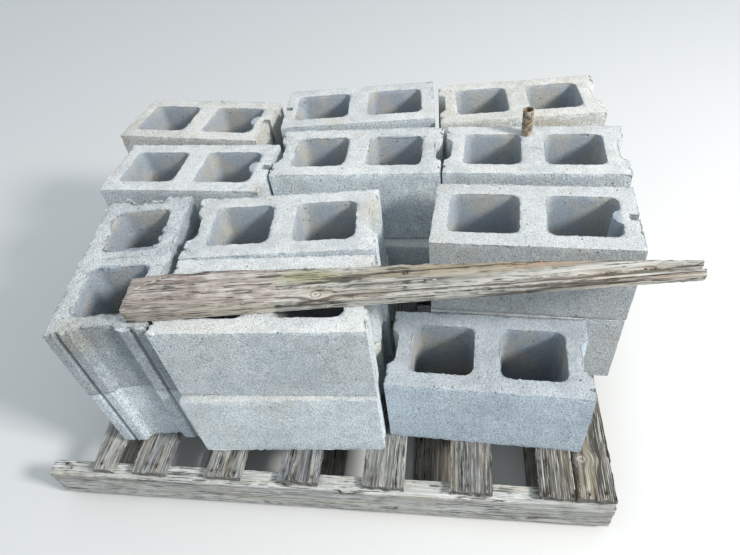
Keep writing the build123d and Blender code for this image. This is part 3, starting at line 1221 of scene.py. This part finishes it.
# Cracks along the grain: start, end, depth, half the width, and the lowest face that opens.
PLANK_CRACKS = [
    ((0.010, 0.050), (0.078, 0.089), 0.006, 0.0012, 0.02),
    ((0.120, 0.036), (0.560, 0.030), 0.004, 0.0010, 0.016),
    ((0.600, 0.016), (0.935, 0.021), 0.004, 0.0010, 0.012),
    ((0.000, 0.024), (0.110, 0.027), 0.004, 0.0010, 0.02),
]
# Stained patches: middle, radii and colour.
PLANK_PATCHES = {
    "tanned": ((0.640, 0.060), (0.300, 0.026), (166, 152, 122)),
    "ruddy": ((0.755, 0.056), (0.100, 0.014), (184, 156, 134)),
    "mossy": ((0.330, 0.062), (0.075, 0.024), (170, 168, 132)),
}
PLANK_LOOK = ((210, 209, 202), (138, 136, 128), (180, 160, 138))
PLANK_BROWN = (0.276, 0.0012, (172, 155, 148))
PLANK_END = tone(196, 184, 164)
PLANK_KNOT = (0.349, 0.016, 0.008)


def fading(point, middle, radii):
    """1 in the middle of an oval, falling to 0 at its rim."""
    x, y = ((value - centre) / radius for value, centre, radius in zip(point.xy, middle, radii))
    return max(0.0, 1 - x * x - y * y)


def loose_board():
    """A length of two-by-four, split thin along its back and forked at its right end."""
    board = block_of((0, 0, 0), (PLANK_LENGTH, PLANK_WIDTH, PLANK_HEIGHT), "loose_board_sawn")
    trim(board, (PLANK_LENGTH, 0.036), (1.010, 0))
    trim(board, (0, 0.081), (0.060, PLANK_WIDTH))
    for first, second in zip(PLANK_BACK, PLANK_BACK[1:]):
        trim(board, first, second)
    above = block_of((-0.01, -0.01, PLANK_HEIGHT), (1.03, 0.10, 0.06), "above_cutter")
    slice_up(above, X, [PLANK_BEND])
    for x, drop in PLANK_SLOPES.items():
        shift_part(above, lambda vert: vert.co.z < 0.04 and abs(vert.co.x - x) < 0.015, (0, 0, -drop))
    fork = pinch(block_of(*PLANK_FORK, "fork_cutter"), -1)
    holes = [rod_of(NAIL_HOLE, 0.012, 0.05, place, "nail_hole", 10) for place in PLANK_NAIL_HOLES]
    for cutters in ([above], [fork], holes):
        cut(board, cutters)
    soften(board, PLANK_EDGE)
    slice_up(board, X, steps(0, PLANK_LENGTH, ALONG_SPACING))
    slice_up(board, Y, steps(0, PLANK_WIDTH, ACROSS_SPACING))
    slice_up(board, Z, steps(0, PLANK_HEIGHT, HEIGHT_SPACING))
    for line in PLANK_CRACKS:
        crack(board, *line)
    edge_group(board)
    rust_around(board, PLANK_NAIL_HOLES, HOLE_RUST_REACH)
    for patch, (middle, radii, _) in PLANK_PATCHES.items():
        mark(board, patch, lambda point: fading(point, middle, radii))
    set_down(board, (*PLANK_PLACE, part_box("loose_board")[0].z), PLANK_TURN)
    weather(board, ((16, 1, 1), (0, 0, math.radians(PLANK_TURN))), *PLANK_WEAR)
    wood = sawn_wood(
        "wood_loose_board", *PLANK_LOOK, "x", (*PLANK_PLACE, 0), PLANK_TURN, knots=[PLANK_KNOT],
        end=PLANK_END, brown=PLANK_BROWN, lively=0.7, ringed=0.85,
        patches=[(patch, colour) for patch, (_, _, colour) in PLANK_PATCHES.items()],
    )
    finished(board, wood, "loose_board")


loose_board()


# Pipe stub

PIPE_RADIUS = 0.0125
PIPE_WALL = 0.0025
PIPE_EDGE = 0.0005
PIPE_SPACING = 0.002
PIPE_WEAR = 0.0005
PIPE_EDGE_WEAR = 0.0008


def pipe_stub():
    """A short length of pipe, cut off ragged at its top, standing on a block."""
    low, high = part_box("pipe_stub")
    middle = ((low.x + high.x) / 2, (low.y + high.y) / 2)
    pipe = rod_of(PIPE_RADIUS, low.z, high.z, middle, "pipe_stub_dressed", 40)
    open_up(pipe)
    pick(pipe, "FACE", lambda face: abs(face.normal.z) > 0.9)
    bpy.ops.mesh.inset(thickness=PIPE_WALL)
    bpy.ops.mesh.bridge_edge_loops()
    close(pipe)
    soften(pipe, PIPE_EDGE)
    slice_up(pipe, Z, steps(low.z, high.z, PIPE_SPACING))
    edge_group(pipe)
    roughen(pipe, grain_cloud, PIPE_WEAR)
    roughen(pipe, edge_cloud, PIPE_EDGE_WEAR, "edges")
    finished(pipe, pipe_finish(), "pipe_stub", 30)


pipe_stub()


# Floor and light

FLOOR_SIZE = 30
FLOOR_ROUGHNESS = 0.9
FLOOR_SEEN = tone(232, 232, 230)
FLOOR_BOUNCED = tone(150, 150, 148)
KEY_PLACE = (3.5, -1.4, 2.85)
KEY_AIM = (0, 0, 0.4)

bpy.ops.mesh.primitive_plane_add(size=FLOOR_SIZE, location=(0, 0, 0))
floor = bpy.context.object
floor.name = "floor"
floor_finish = Finish("floor_plain")
seen, in_gloss, through = (
    floor_finish.node("LightPath", output=f"Is {ray} Ray") for ray in ("Camera", "Glossy", "Transmission")
)
direct = seen.math("MAXIMUM", seen.math("MAXIMUM", seen, in_gloss), through)
floor.data.materials.append(floor_finish.give(
    Base_Color=floor_finish.mix(direct, FLOOR_BOUNCED, FLOOR_SEEN), Roughness=FLOOR_ROUGHNESS,
))
floor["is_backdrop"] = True

world = bpy.data.worlds.new("world")
scene.world = world
world.use_nodes = True
sky = world.node_tree.nodes["Background"].inputs
sky["Color"].default_value = (0.85, 0.93, 1, 1)
sky["Strength"].default_value = 0.67

lamp = bpy.data.objects.new("key", bpy.data.lights.new("key", "AREA"))
scene.collection.objects.link(lamp)
lamp.location = KEY_PLACE
lamp.rotation_euler = (Vector(KEY_AIM) - lamp.location).to_track_quat("-Z", "Y").to_euler()
lamp.data.size = 0.8
lamp.data.energy = 185
lamp.data.color = (1.0, 0.97, 0.935)
scene.view_settings.view_transform = "Standard"

low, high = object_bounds()
